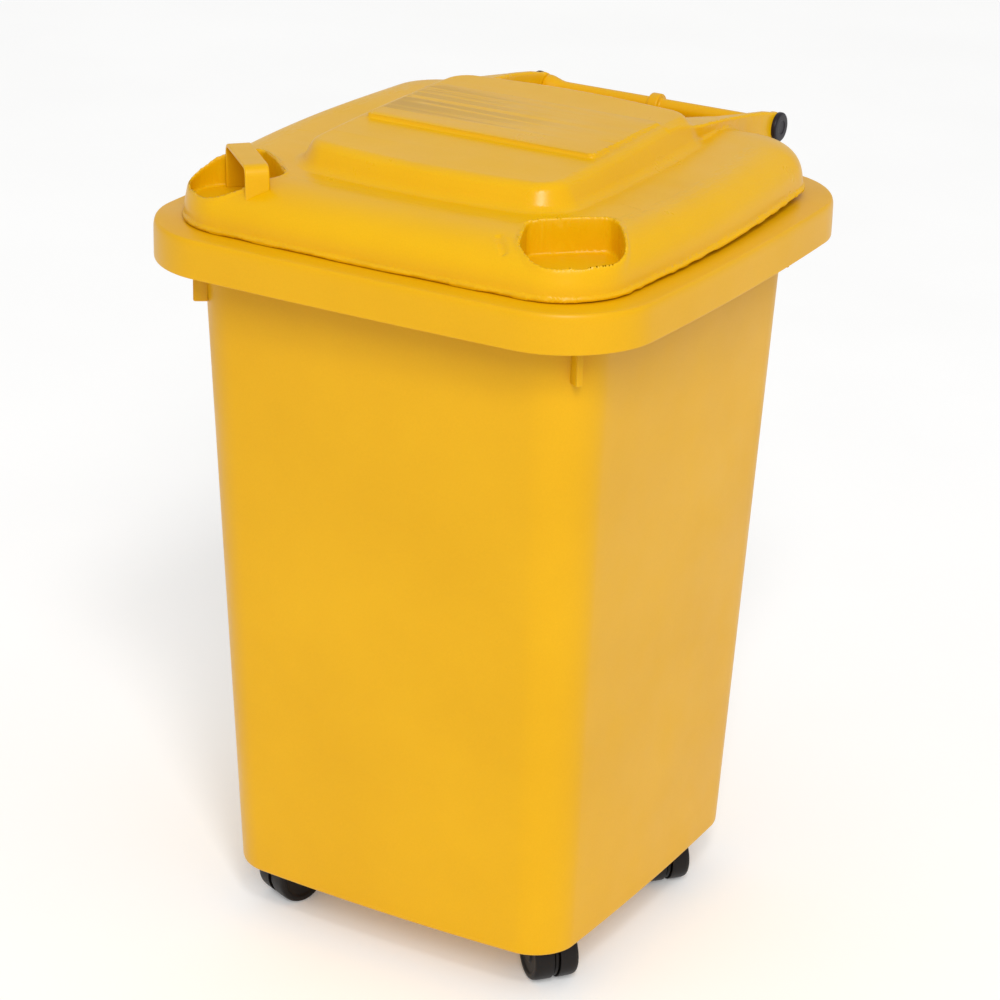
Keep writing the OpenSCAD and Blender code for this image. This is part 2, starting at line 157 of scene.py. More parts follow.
def moulded(name, low, high, rough=(0.3, 0.42), grain=0.05, waves=0.25, scuffs=0.3, sub=0.0, specular=0.22,
            dust=(0.9, 0.86, 0.75)):
    """Moulded plastic: cloudy colour, fine grain, long soft waves, dull patches and hairline scuffs."""
    material = bpy.data.materials.new(name)
    material.use_nodes = True
    tree = material.node_tree
    shader = tree.nodes["Principled BSDF"]
    coords = node(tree, "ShaderNodeTexCoord", -1500, 0).outputs["Object"]

    cloud = noise(tree, coords, 7.0, 4.0, 0.55, -1000, 400)
    colour = ramp(tree, cloud, [(0.3, low), (0.7, high)], -780, 400)
    speck = noise(tree, coords, 900.0, 2.0, 0.5, -1000, 180)
    speck = ramp(tree, speck, [(0.25, (0.955, 0.955, 0.955)), (0.75, (1, 1, 1))], -780, 180)
    mix = node(tree, "ShaderNodeMix", -480, 340, data_type="RGBA", blend_type="MULTIPLY")
    mix.inputs[0].default_value = 1.0
    tree.links.new(colour, mix.inputs[6])
    tree.links.new(speck, mix.inputs[7])

    # hairline scuffs, fewer where the broad noise is low
    hair = noise(tree, coords, 60.0, 6.0, 0.75, -1000, -60, (1.0, 1.0, 9.0))
    hair = ramp(tree, hair, [(0.66, (0, 0, 0)), (0.72, (1, 1, 1))], -780, -60)
    where = noise(tree, coords, 11.0, 3.0, 0.6, -1000, -280)
    where = ramp(tree, where, [(0.52, (0, 0, 0)), (0.72, (1, 1, 1))], -780, -280)
    worn = node(tree, "ShaderNodeMath", -480, -120, operation="MULTIPLY")
    tree.links.new(hair, worn.inputs[0])
    tree.links.new(where, worn.inputs[1])
    amount = node(tree, "ShaderNodeMath", -300, -120, operation="MULTIPLY")
    amount.inputs[1].default_value = scuffs * 0.25
    tree.links.new(worn.outputs[0], amount.inputs[0])
    scuffed = node(tree, "ShaderNodeMix", -120, 300, data_type="RGBA", blend_type="MIX")
    scuffed.inputs[7].default_value = (*dust, 1)
    tree.links.new(amount.outputs[0], scuffed.inputs[0])
    tree.links.new(mix.outputs[2], scuffed.inputs[6])
    tree.links.new(scuffed.outputs[2], shader.inputs["Base Color"])

    dull = noise(tree, coords, 16.0, 5.0, 0.6, -1000, -500)
    dull = node_map(tree, dull, 0.3, 0.7, rough[0], rough[1], -780, -500)
    total = node(tree, "ShaderNodeMath", -300, -420, operation="ADD")
    extra = node(tree, "ShaderNodeMath", -480, -420, operation="MULTIPLY")
    extra.inputs[1].default_value = 0.22 * scuffs
    tree.links.new(worn.outputs[0], extra.inputs[0])
    tree.links.new(dull, total.inputs[0])
    tree.links.new(extra.outputs[0], total.inputs[1])
    tree.links.new(total.outputs[0], shader.inputs["Roughness"])

    fine = noise(tree, coords, 700.0, 3.0, 0.6, -1000, -740)
    broad = noise(tree, coords, 9.0, 2.0, 0.4, -1000, -960)
    bump_fine = node(tree, "ShaderNodeBump", -480, -740, Strength=grain, Distance=0.0006)
    tree.links.new(fine, bump_fine.inputs["Height"])
    bump_broad = node(tree, "ShaderNodeBump", -300, -860, Strength=waves, Distance=0.002)
    tree.links.new(broad, bump_broad.inputs["Height"])
    tree.links.new(bump_fine.outputs["Normal"], bump_broad.inputs["Normal"])
    tree.links.new(bump_broad.outputs["Normal"], shader.inputs["Normal"])

    shader.inputs["IOR"].default_value = 1.5
    shader.inputs["Specular IOR Level"].default_value = specular
    if sub:
        shader.inputs["Subsurface Weight"].default_value = sub
        shader.inputs["Subsurface Radius"].default_value = (1.0, 0.55, 0.12)
        shader.inputs["Subsurface Scale"].default_value = 0.004
    return material


def node_map(tree, source, a, b, c, d, x, y):
    n = node(tree, "ShaderNodeMapRange", x, y)
    for i, value in zip((1, 2, 3, 4), (a, b, c, d)):
        n.inputs[i].default_value = value
    tree.links.new(source, n.inputs["Value"])
    return n.outputs["Result"]


def brushed_steel(name):
    material = bpy.data.materials.new(name)
    material.use_nodes = True
    tree = material.node_tree
    shader = tree.nodes["Principled BSDF"]
    coords = node(tree, "ShaderNodeTexCoord", -1400, 0).outputs["Object"]
    tone = noise(tree, coords, 300.0, 4.0, 0.6, -900, 200, (1, 1, 8))
    tone = ramp(tree, tone, [(0.3, (0.42, 0.42, 0.43)), (0.7, (0.6, 0.6, 0.62))], -680, 200)
    tree.links.new(tone, shader.inputs["Base Color"])
    dull = noise(tree, coords, 500.0, 3.0, 0.5, -900, -100)
    tree.links.new(node_map(tree, dull, 0.3, 0.7, 0.22, 0.42, -680, -100), shader.inputs["Roughness"])
    bump = node(tree, "ShaderNodeBump", -400, -300, Strength=0.08, Distance=0.0003)
    tree.links.new(dull, bump.inputs["Height"])
    tree.links.new(bump.outputs["Normal"], shader.inputs["Normal"])
    shader.inputs["Metallic"].default_value = 1.0
    return material


# Pieces ----------------------------------------------------------------------------------

def add_piece(name, mesh, body, material, stands_for=(), sharp=None):
    """Puts a mesh in millimetres into the scene as a piece that rides on a body."""
    mesh.transform(Matrix.Diagonal((MM, MM, MM, 1)))
    mesh.materials.clear()
    mesh.materials.append(material)
    for polygon in mesh.polygons:
        polygon.use_smooth = True
    if sharp:
        mesh.set_sharp_from_angle(angle=math.radians(sharp))
    piece = bpy.data.objects.new(name, mesh)
    SCENE.collection.objects.link(piece)
    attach(piece, body)
    for cad_node in stands_for:
        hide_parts(cad_node)


def mesh_of(name, vertices, faces):
    mesh = bpy.data.meshes.new(name)
    mesh.from_pydata([tuple(v) for v in vertices], [], [tuple(f) for f in faces])
    mesh.update()
    return mesh


def finish_mesh(bm, name):
    bmesh.ops.recalc_face_normals(bm, faces=bm.faces)
    mesh = bpy.data.meshes.new(name)
    bm.to_mesh(mesh)
    bm.free()
    return mesh


def rounded(points, closed=False, steps=5):
    """Rounds a polyline's corners. Each point's last number is the length of its rounding."""
    out = []
    n = len(points)
    for i, point in enumerate(points):
        p, cut = np.array(point[:-1], float), point[-1]
        if cut <= 0 or (not closed and i in (0, n - 1)):
            out.append(p)
            continue
        a = np.array(points[i - 1][:-1], float)
        b = np.array(points[(i + 1) % n][:-1], float)
        pa = p + (a - p) * min(0.5, cut / max(np.linalg.norm(a - p), 1e-9))
        pb = p + (b - p) * min(0.5, cut / max(np.linalg.norm(b - p), 1e-9))
        for t in np.linspace(0, 1, steps + 1):
            out.append((1 - t) ** 2 * pa + 2 * t * (1 - t) * p + t * t * pb)
    return out


def outline(w, d, r, bow, corner=16, side=26):
    """A bowed rounded rectangle, anticlockwise."""
    x, y = w / 2 - r, d / 2 - r
    arcs = []
    for cx, cy, start in ((x, -y, -90), (x, y, 0), (-x, y, 90), (-x, -y, 180)):
        a = np.radians(start + np.linspace(0, 90, corner + 1))
        arcs.append(np.stack([cx + r * np.cos(a), cy + r * np.sin(a)], 1))
    points = []
    for k in range(4):
        points.append(arcs[k])
        t = np.arange(1, side)[:, None] / side
        points.append(arcs[k][-1] + (arcs[(k + 1) % 4][0] - arcs[k][-1]) * t)
    p = np.concatenate(points)
    u, v = 2 * p[:, 0] / w, 2 * p[:, 1] / d
    return np.stack([p[:, 0] + bow[1] * np.sign(u) * (1 - v * v) * np.abs(u) ** 4,
                     p[:, 1] + bow[0] * np.sign(v) * (1 - u * u) * np.abs(v) ** 4], 1)


def loft(rings):
    """A closed skin through rings with the same number of points, capped by a fan at each end."""
    count = len(rings[0])
    vertices = np.concatenate(rings)
    faces = []
    i = np.arange(count)
    j = (i + 1) % count
    for k in range(len(rings) - 1):
        a, b = k * count, (k + 1) * count
        faces += list(zip(a + i, a + j, b + j, b + i))
    for k, flip in ((0, True), (len(rings) - 1, False)):
        centre = len(vertices)
        vertices = np.concatenate([vertices, rings[k].mean(0)[None]])
        fan = [(k * count + p, k * count + q, centre) for p, q in zip(i, j)]
        faces += [f[::-1] for f in fan] if flip else fan
    return vertices, faces


def lathe(profile, centre, axis, segments=96):
    """Turns a profile of (radius, distance along the axis) about an axis."""
    axis = Vector(axis).normalized()
    side = axis.orthogonal().normalized()
    other = axis.cross(side)
    rings = []
    turn = np.linspace(0, 2 * math.pi, segments, endpoint=False)
    for radius, along in profile:
        ring = np.array(centre, float) + np.array(axis) * along + max(radius, 1e-3) * (
            np.cos(turn)[:, None] * np.array(side) + np.sin(turn)[:, None] * np.array(other))
        rings.append(ring)
    return loft(rings)


def lathe_mesh(name, profile, centre, axis, segments=96):
    bm = bmesh.new()
    add_part(bm, *lathe(profile, centre, axis, segments))
    return finish_mesh(bm, name)


def add_part(bm, vertices, faces):
    made = [bm.verts.new(v) for v in vertices]
    for face in faces:
        bm.faces.new([made[i] for i in face])


def prism(bm, points, place, thickness, bevel, segments=3):
    """A plate with rounded edges: points in its plane, place maps (u, v, w) to millimetres."""
    part = bmesh.new()
    low = [part.verts.new(place(p[0], p[1], -thickness / 2)) for p in points]
    high = [part.verts.new(place(p[0], p[1], thickness / 2)) for p in points]
    part.faces.new(low[::-1])
    part.faces.new(high)
    n = len(points)
    for i in range(n):
        part.faces.new((low[i], low[(i + 1) % n], high[(i + 1) % n], high[i]))
    bmesh.ops.recalc_face_normals(part, faces=part.faces)
    bmesh.ops.bevel(part, geom=part.edges[:], offset=bevel, segments=segments, profile=0.5, affect="EDGES",
                    clamp_overlap=True)
    temporary = bpy.data.meshes.new("temporary")
    part.to_mesh(temporary)
    part.free()
    bm.from_mesh(temporary)
    bpy.data.meshes.remove(temporary)


# Implicit solids: a field is negative inside, and roughly a distance in millimetres near its surface

def cut_max(a, b, r):
    """Intersection of two fields with a rounded edge."""
    return np.minimum(np.maximum(a, b), -r) + np.hypot(np.maximum(a + r, 0), np.maximum(b + r, 0))


def join_min(a, b, r):
    """Union of two fields with a filleted corner."""
    return -cut_max(-a, -b, r)


def rectangle_field(x, y, w, d, r, bow):
    u, v = np.clip(2 * x / w, -1.08, 1.08), np.clip(2 * y / d, -1.08, 1.08)
    x = x - bow[1] * np.sign(u) * np.maximum(1 - v * v, 0) * u ** 4
    y = y - bow[0] * np.sign(v) * np.maximum(1 - u * u, 0) * v ** 4
    qx, qy = np.abs(x) - (w / 2 - r), np.abs(y) - (d / 2 - r)
    return np.hypot(np.maximum(qx, 0), np.maximum(qy, 0)) + np.minimum(np.maximum(qx, qy), 0) - r


def polygon_distance(x, y, points):
    """Signed distance to a closed polygon, negative inside."""
    points = np.array(points, float)
    best = np.full(x.shape, 1e9)
    inside = np.zeros(x.shape, bool)
    for a, b in zip(points, np.roll(points, -1, 0)):
        ex, ey = b - a
        t = np.clip(((x - a[0]) * ex + (y - a[1]) * ey) / max(ex * ex + ey * ey, 1e-12), 0, 1)
        best = np.minimum(best, np.hypot(x - a[0] - t * ex, y - a[1] - t * ey))
        if ey:
            crosses = (a[1] > y) != (b[1] > y)
            inside ^= crosses & (x < a[0] + (y - a[1]) * ex / ey)
    return np.where(inside, -best, best)


class Table:
    """A polygon's signed distance, sampled once on a fine grid and read back by interpolation."""

    def __init__(self, points, pad=30.0, step=0.5):
        points = np.array(points, float)
        self.low, self.step = points.min(0) - pad, step
        size = np.ceil((points.max(0) + pad - self.low) / step).astype(int) + 1
        x, y = np.meshgrid(self.low[0] + np.arange(size[0]) * step, self.low[1] + np.arange(size[1]) * step,
                           indexing="ij")
        self.values = polygon_distance(x, y, points)

    def __call__(self, x, y):
        fx = np.clip((x - self.low[0]) / self.step, 0, self.values.shape[0] - 1.001)
        fy = np.clip((y - self.low[1]) / self.step, 0, self.values.shape[1] - 1.001)
        i, j = fx.astype(int), fy.astype(int)
        fx, fy = fx - i, fy - j
        v = self.values
        return ((v[i, j] * (1 - fx) + v[i + 1, j] * fx) * (1 - fy)
                + (v[i, j + 1] * (1 - fx) + v[i + 1, j + 1] * fx) * fy)


def gradient(field, p, h=0.05):
    out = np.empty_like(p)
    for k in range(3):
        q = p.copy()
        q[:, k] += h
        a = field(*q.T)
        q[:, k] -= 2 * h
        out[:, k] = (a - field(*q.T)) / (2 * h)
    return out


def skin(name, field, low, high, cell, faces_wanted=None):
    """A mesh of a field's zero surface: one vertex in each cell that it crosses, drawn onto the surface."""
    low = np.array(low, float)
    size = np.ceil((np.array(high) - low) / cell).astype(int) + 1
    axes = [low[k] + np.arange(size[k]) * cell for k in range(3)]
    values = np.empty(size, np.float32)
    y, z = np.meshgrid(axes[1], axes[2], indexing="ij")
    for i, x in enumerate(axes[0]):
        values[i] = field(np.full(y.shape, x), y, z)
    inside = values < 0
    corners = [(a, b, c) for a in (0, 1) for b in (0, 1) for c in (0, 1)]
    cells = size - 1

    def shifted(array, c):
        return array[c[0]:c[0] + cells[0], c[1]:c[1] + cells[1], c[2]:c[2] + cells[2]]

    total = sum(shifted(inside, c).astype(np.int8) for c in corners)
    active = np.argwhere((total > 0) & (total < 8))
    place = np.zeros((len(active), 3))
    count = np.zeros(len(active))
    at = [values[tuple((active + c).T)] for c in corners]
    for i, a in enumerate(corners):
        for j, b in enumerate(corners):
            if j <= i or sum(abs(p - q) for p, q in zip(a, b)) != 1:
                continue
            crosses = (at[i] < 0) != (at[j] < 0)
            t = np.where(crosses, at[i] / np.where(crosses, at[i] - at[j], 1), 0)[:, None]
            place += np.where(crosses[:, None], np.array(a) * (1 - t) + np.array(b) * t, 0)
            count += crosses
    p = low + (active + place / count[:, None]) * cell
    home = low + (active + 0.5) * cell
    index = np.full(cells, -1, np.int64)
    index[tuple(active.T)] = np.arange(len(active))
    quads = []
    for k in range(3):
        u, v = (k + 1) % 3, (k + 2) % 3
        head = [slice(None)] * 3
        tail = [slice(None)] * 3
        head[k], tail[k] = slice(1, None), slice(0, -1)
        edge = np.argwhere(inside[tuple(head)] != inside[tuple(tail)])
        edge = edge[(edge[:, u] > 0) & (edge[:, v] > 0) & (edge[:, u] < cells[u]) & (edge[:, v] < cells[v])]
        ring = []
        for du, dv in ((1, 1), (0, 1), (0, 0), (1, 0)):
            q = edge.copy()
            q[:, u] -= du
            q[:, v] -= dv
            ring.append(index[tuple(q.T)])
        ring = np.stack(ring, 1)
        flip = ~inside[tuple(edge.T)]
        ring[flip] = ring[flip][:, ::-1]
        quads.append(ring)
    quads = np.concatenate(quads)
    pairs = np.concatenate([quads[:, [0, 1]], quads[:, [1, 2]], quads[:, [2, 3]], quads[:, [3, 0]]])
    pairs = np.unique(np.sort(pairs, 1), axis=0)
    degree = np.bincount(pairs.ravel(), minlength=len(p))[:, None]
    for turn in range(4):
        total = np.zeros_like(p)
        for k in range(3):
            total[:, k] = (np.bincount(pairs[:, 0], p[pairs[:, 1], k], len(p))
                           + np.bincount(pairs[:, 1], p[pairs[:, 0], k], len(p)))
        if turn < 3:
            p += 0.5 * (total / degree - p)
        for _ in range(2):
            g = gradient(field, p)
            scale = np.maximum((g * g).sum(1), 0.05)
            step = (field(*p.T) / scale)[:, None] * g
            length = np.linalg.norm(step, axis=1)[:, None]
            p -= step * np.minimum(1, 0.4 * cell / np.maximum(length, 1e-9))
            p = home + np.clip(p - home, -0.7 * cell, 0.7 * cell)
    facing = np.zeros_like(p)
    across = np.cross(p[quads[:, 2]] - p[quads[:, 0]], p[quads[:, 3]] - p[quads[:, 1]])
    for k in range(3):
        for corner in range(4):
            facing[:, k] += np.bincount(quads[:, corner], across[:, k], len(p))
    g = gradient(field, p, 0.3)
    lengths = np.linalg.norm(facing, axis=1) * np.linalg.norm(g, axis=1)
    agree = (facing * g).sum(1) / np.maximum(lengths, 1e-12)
    crease = agree < 0.96
    for _ in range(2):                                    # the folds and their neighbours
        touched = crease[pairs[:, 0]] | crease[pairs[:, 1]]
        crease[pairs[touched].ravel()] = True
    for _ in range(4):
        total = np.zeros_like(p)
        for k in range(3):
            total[:, k] = (np.bincount(pairs[:, 0], p[pairs[:, 1], k], len(p))
                           + np.bincount(pairs[:, 1], p[pairs[:, 0], k], len(p)))
        p[crease] += 0.5 * (total / degree - p)[crease]
    mesh = mesh_of(name, p, quads)
    if faces_wanted and 2 * len(quads) > faces_wanted:
        mesh = thinned(mesh, faces_wanted / (2 * len(quads)))
    return mesh


def thinned(mesh, ratio):
    carrier = bpy.data.objects.new("carrier", mesh)
    SCENE.collection.objects.link(carrier)
    modifier = carrier.modifiers.new("thin", "DECIMATE")
    modifier.ratio = ratio
    result = bpy.data.meshes.new_from_object(carrier.evaluated_get(bpy.context.evaluated_depsgraph_get()))
    bpy.data.objects.remove(carrier)
    bpy.data.meshes.remove(mesh)
    return result


def set_normals(mesh, field):
    """Shading normals from the field where it agrees with the mesh, so that thin triangles don't show."""
    co = np.zeros(len(mesh.vertices) * 3)
    own = np.zeros(len(mesh.vertices) * 3)
    mesh.vertices.foreach_get("co", co)
    mesh.vertices.foreach_get("normal", own)
    own = own.reshape(-1, 3)
    g = gradient(field, co.reshape(-1, 3), 0.5)
    g /= np.maximum(np.linalg.norm(g, axis=1)[:, None], 1e-9)
    trust = np.clip(((g * own).sum(1) - 0.97) / 0.025, 0, 1)[:, None]
    g = g * trust + own * (1 - trust)
    mesh.normals_split_custom_set_from_vertices([tuple(v) for v in g])


# Tub ---------------------------------------------------------------------------------------

WALL = 3.0
FOOT_Z = 39.0
SKIRT_LOW = 530.0
FOOT = (288.6, 287.2, 31.0, 5.3, 3.7)
TOP = (327.6, 335.2, 40.0, 2.0, 2.0)
RIM = (390.0, 401.4, 65.0, 3.7, 7.8)
LIP = (334.0, 341.0, 40.0, 3.7, 7.8)


def shrunk(shape, inset):
    w, d, r, front, sides = shape
    return (w - 2 * inset, d - 2 * inset, max(r - inset, 4.0), front, sides)


def wall_at(z, inset=0.0):
    t = (z - FOOT_Z) / (SKIRT_LOW - FOOT_Z)
    return shrunk(tuple(a + (b - a) * t for a, b in zip(FOOT, TOP)), inset)


def tub_mesh():
    """One closed skin: up the inside, over the lip and the rim, down the outside and under the floor."""
    inner = [(*wall_at(58, 60), 58, 0), (*wall_at(58, WALL), 58, 9)]
    inner += [(*wall_at(z, WALL), z, 0) for z in (150, 250, 350, 450, 520)]
    inner += [(*shrunk(TOP, WALL), RIM_TOP, 3)]
    lip = [(*shrunk(LIP, WALL), RIM_TOP, 1.5), (*shrunk(LIP, WALL), RIM_TOP + 8, 1.3),
           (*LIP, RIM_TOP + 8, 1.3), (*LIP, RIM_TOP, 2.5)]
    rim = [(*RIM, RIM_TOP, 7.5), (*RIM, SKIRT_LOW, 1.3), (*shrunk(RIM, WALL), SKIRT_LOW, 1.3),
           (*shrunk(RIM, WALL), RIM_TOP - WALL, 4)]
    outer = [(*wall_at(RIM_TOP - WALL), RIM_TOP - WALL, 3)]
    outer += [(*wall_at(z), z, 0) for z in (500, 420, 340, 260, 180, 110)]
    outer += [(*wall_at(FOOT_Z), FOOT_Z, 4), (*wall_at(FOOT_Z, WALL + 1), FOOT_Z, 1.5)]
    under = [(*wall_at(54, WALL + 1), 54, 2), (*wall_at(54, 60), 54, 0)]
    rings = []
    for row in rounded(inner + lip + rim + outer + under, steps=5):
        w, d, r, front, sides, z = row
        flat = outline(w, d, r, (front, sides))
        rings.append(np.column_stack([flat[:, 0], flat[:, 1] + TUB_Y, np.full(len(flat), z)]))
    bm = bmesh.new()
    add_part(bm, *loft(rings))
    return finish_mesh(bm, "tub_shell")


BAR_R, COLLAR_R, COLLAR_X = 6.3, 9.8, 99.5


def handle_mesh():
    """The bar with its middle collar and its two flared ends, and the webs that carry it."""
    half = [(BAR_R, 0, 0), (COLLAR_R, 0, 0), (COLLAR_R, 4.5, 1.6), (BAR_R, 4.5, 2.4),
            (BAR_R, COLLAR_X - 15, 4), (COLLAR_R, COLLAR_X - 4, 2.5), (COLLAR_R, COLLAR_X, 1.2),
            (3.6, COLLAR_X, 0.3),
            (3.6, 70, 0), (0, 70, 0)]
    side = rounded(half, steps=4)[1:]
    profile = [(r, -x) for r, x in side[::-1]] + [(r, x) for r, x in side]
    bm = bmesh.new()
    add_part(bm, *lathe(profile, (0, TUB_Y + HINGE_BACK, HINGE_Z), (1, 0, 0)))
    web = rounded([(166.6, 502, 1), (200.7, 526, 12), (238, 571.2, 3), (240, 580, 2), (231.2, 582, 2),
                   (202, 557.8, 10), (166.6, 557.0, 1)], closed=True, steps=4)
    for x in (-92.5, 0, 92.5):
        prism(bm, web, lambda u, v, w, x=x: (x + w, u + TUB_Y, v), 6.0, 0.9, 2)
    return finish_mesh(bm, "tub_handle")


def lugs_mesh():
    root = TOP[2] * math.sqrt(0.5)
    turn = math.radians(35)
    bm = bmesh.new()
    for sx in (1, -1):
        for sy in (1, -1):
            def place(u, v, w):
                x = TOP[0] / 2 - TOP[2] + root + u * math.cos(turn) - w * math.sin(turn)
                y = TOP[1] / 2 - TOP[2] + root + u * math.sin(turn) + w * math.cos(turn)
                return (sx * x, sy * y + TUB_Y, v)

            plate = rounded([(-1.5, 497.5, 0.2), (9, 497.5, 1.5), (9, 556.5, 0.2), (-1.5, 556.5, 0.2)],
                            closed=True, steps=2)
            prism(bm, plate, place, 4.2, 0.7, 2)
    return finish_mesh(bm, "tub_lugs")


def bosses_mesh(swivels):
    bm = bmesh.new()
    under = rounded([(0, 62, 0), (4.05, 62, 0), (4.05, 51, 0.5), (9, 51, 0.8), (9, 55, 0)])
    above = rounded([(9, 57, 0), (9, 71, 1.5), (0, 71, 0)])
    for x, y in swivels:
        add_part(bm, *lathe(under, (x, y, 0), (0, 0, 1), 48))
        add_part(bm, *lathe(above, (x, y, 0), (0, 0, 1), 48))
    return finish_mesh(bm, "tub_bosses")


# Lid ---------------------------------------------------------------------------------------

LID = (347.0, 355.2, 45.0, (3.9, 8.7))
SHELF = 35.5
POWER = 2.7
POCKET = [(111, -163), (98, -130), (106, -122), (127, -103), (143, -92), (153, -98), (171, -121), (174, -131),
          (172.5, -143), (160, -160.5), (144.5, -171), (134, -173.8), (124, -171.5)]
PLATEAU, PLATEAU_Y = (224.0, 228.0, 28.0, (7, 3)), 4.0
PLATEAU_TOP, PLATEAU_SLOPE = 54.5, 0.014
PAD_HALF_W, PAD_HALF_D, PAD_Y, PAD_TOP = 95.0, 50.0, 18.0, 57.5
POCKET_FLOOR = 11.5
EYE_R, EYE_X, EYE_HALF_W, PIN_BORE = 11.0, 102.65, 2.75, 3.56
STRAP_FRONT, STRAP_BACK = (-98.0, -165.0), (-155.5, -108.0)
ARM_SIDE = [(60, 617), (80, 615.5), (100, 612), (120, 610), (145, 607.3), (176, 602.8), (196, 600),
            (220, 596), (240, 591), (240, 569), (226, 572), (198, 577), (172, 584), (160, 594), (60, 605)]
ARM_PLAN = [(84, 60), (103, 60), (107.5, 110), (107, 140), (105.4, 185), (105.4, 260), (99.9, 260),
            (99.9, 190), (95, 150), (84, 126)]


def lid_field():
    pocket_rim = Table([tuple(p) for p in rounded([(*p, 5) for p in POCKET], closed=True, steps=3)])
    arm_side, arm_plan = Table(ARM_SIDE, step=1.0), Table(ARM_PLAN, step=1.0)
    cos, sin = math.cos(LID_TILT), math.sin(LID_TILT)

    def crown(x, y, z, inset):
        t = np.clip((z + inset) / SHELF, 0, 1) ** POWER
        u = 1 - (1 - t) ** (1 / POWER)
        steep = 42 * t ** ((POWER - 1) / POWER) * np.maximum(1 - t, 1e-5) ** (1 / POWER - 1)
        slope = np.minimum(steep / SHELF, 4)
        w, d, r, bow = LID
        w, d = w - 64 * u, d - 104 * u
        u2, v2 = np.clip(2 * x / w, -1.08, 1.08), np.clip(2 * y / d, -1.08, 1.08)
        px = x - bow[1] * np.sign(u2) * np.maximum(1 - v2 * v2, 0) * u2 ** 4
        py = y - bow[0] * np.sign(v2) * np.maximum(1 - u2 * u2, 0) * v2 ** 4
        r = r - 32 * u
        qx, qy = np.abs(px) - (w / 2 - r), np.abs(py) - (d / 2 - r)
        side = np.hypot(np.maximum(qx, 0), np.maximum(qy, 0)) + np.minimum(np.maximum(qx, qy), 0) - r + inset
        return np.maximum(side / np.sqrt(1 + slope ** 2), z + inset - SHELF)

    def plateau(x, y, z):
        inset = np.clip(-2 + 13 * (z - SHELF + 6) / 25, -4, 14)
        w, d, r, bow = PLATEAU
        wall = rectangle_field(x, y - PLATEAU_Y, w - 2 * inset, d - 2 * inset, np.maximum(r - inset, 5), bow)
        return cut_max(wall / 1.13, z - PLATEAU_TOP - PLATEAU_SLOPE * (y - PLATEAU_Y), 5)

    def field(x, y, z):
        dz, dy = z - LID_Z, y
        lx, ly, lz = x, dy * cos + dz * sin - LID_Y, -dy * sin + dz * cos
        dome = crown(lx, ly, lz, 0)
        body = join_min(dome, plateau(lx, ly, lz), 5)
        pad = cut_max(np.abs(lx) - PAD_HALF_W, np.abs(ly - PAD_Y) - PAD_HALF_D, 4)
        pad = cut_max(pad, lz - PAD_TOP, 1.2)
        pad = np.maximum(pad, 50 - lz)
        hollow = np.minimum(crown(lx, ly, lz, WALL), plateau(lx, ly, lz + WALL) + WALL)
        arms = cut_max(arm_side(y, z), arm_plan(np.abs(x), y), 1.8)
        hinge = np.hypot(y - HINGE_BACK, z - HINGE_Z)
        eye = cut_max(hinge - EYE_R, np.abs(np.abs(x) - EYE_X) - EYE_HALF_W, 0.8)
        base = rectangle_field(lx, ly, LID[0], LID[1], LID[2], LID[3])
        flange = cut_max(base - 1.6, lz - 3.4, 1.3)
        body = join_min(body, flange, 1.0)
        body = cut_max(body, -lz, 0.8)
        rim = pocket_rim(np.abs(lx), ly)
        block = np.maximum(cut_max(rim - 3.2, POCKET_FLOOR - WALL - lz, 3), dome)
        cavity = cut_max(rim + 0.9, POCKET_FLOOR - lz, 2.5)
        bead = np.hypot(rim - 0.4, dome + 0.4) - 1.9
        solid = cut_max(np.minimum(body, pad), -hollow, 0.6)
        solid = np.minimum(solid, block)
        solid = join_min(solid, bead, 1.2)
        solid = cut_max(solid, -cavity, 1.3)
        foot_x, foot_y = lx + STRAP_FRONT[0], ly - STRAP_FRONT[1]     # the mirror image of the strap's foot
        slot_s, slot_w = foot_x * 0.71 + foot_y * 0.704, foot_y * 0.71 - foot_x * 0.704
        slot = np.maximum(cut_max(np.abs(slot_s - 1.5) - 1.9, np.abs(slot_w) - 9.2, 0.8), -(dome + 1.8))
        solid = cut_max(solid, -slot, 0.7)
        solid = join_min(solid, join_min(arms, eye, 2), 3)
        return np.maximum(solid, PIN_BORE - hinge)

    return field


def lid_mesh():
    field = lid_field()
    mesh = skin("lid_shell", field, (-190, -196, 558), (190, 256, 626), 1.3, 190_000)
    set_normals(mesh, field)
    mesh.transform(Matrix.Translation((0, TUB_Y, 0)))
    return mesh


def to_lid(x, y, z):
    """From the lid's frame to the model's, in millimetres."""
    y = y + LID_Y
    cos, sin = math.cos(LID_TILT), math.sin(LID_TILT)
    return (x, y * cos - z * sin + TUB_Y, y * sin + z * cos + LID_Z)


def strap_mesh():
    front, back = np.array(STRAP_FRONT), np.array(STRAP_BACK)
    run = np.linalg.norm(back - front)
    along = (back - front) / run
    across = np.array((-along[1], along[0]))
    centre = rounded([(1.5, 22, 0), (1.5, 48.5, 8), (run - 1.5, 43.5, 8), (run - 1.5, 9, 0)], steps=6)
    centre = np.array(centre)

    def field(s, w, h):
        best = np.full(s.shape, 1e9)
        for a, b in zip(centre[:-1], centre[1:]):
            e = b - a
            t = np.clip(((s - a[0]) * e[0] + (h - a[1]) * e[1]) / (e @ e), 0, 1)
            best = np.minimum(best, np.hypot(s - a[0] - t * e[0], h - a[1] - t * e[1]))
        return cut_max(cut_max(best - 1.5, np.abs(w) - 8.75, 1.1), np.where(s < run / 2, 24, 11.2) - h, 0.5)

    mesh = skin("grip_strap_moulded", field, (-4, -12, 8), (run + 4, 12, 54), 0.6, 60_000)
    for vertex in mesh.vertices:
        s, w, h = vertex.co
        x, y = front + along * s + across * w
        vertex.co = to_lid(x, y, h)
    return mesh


# Hinge pins and casters ----------------------------------------------------------------------

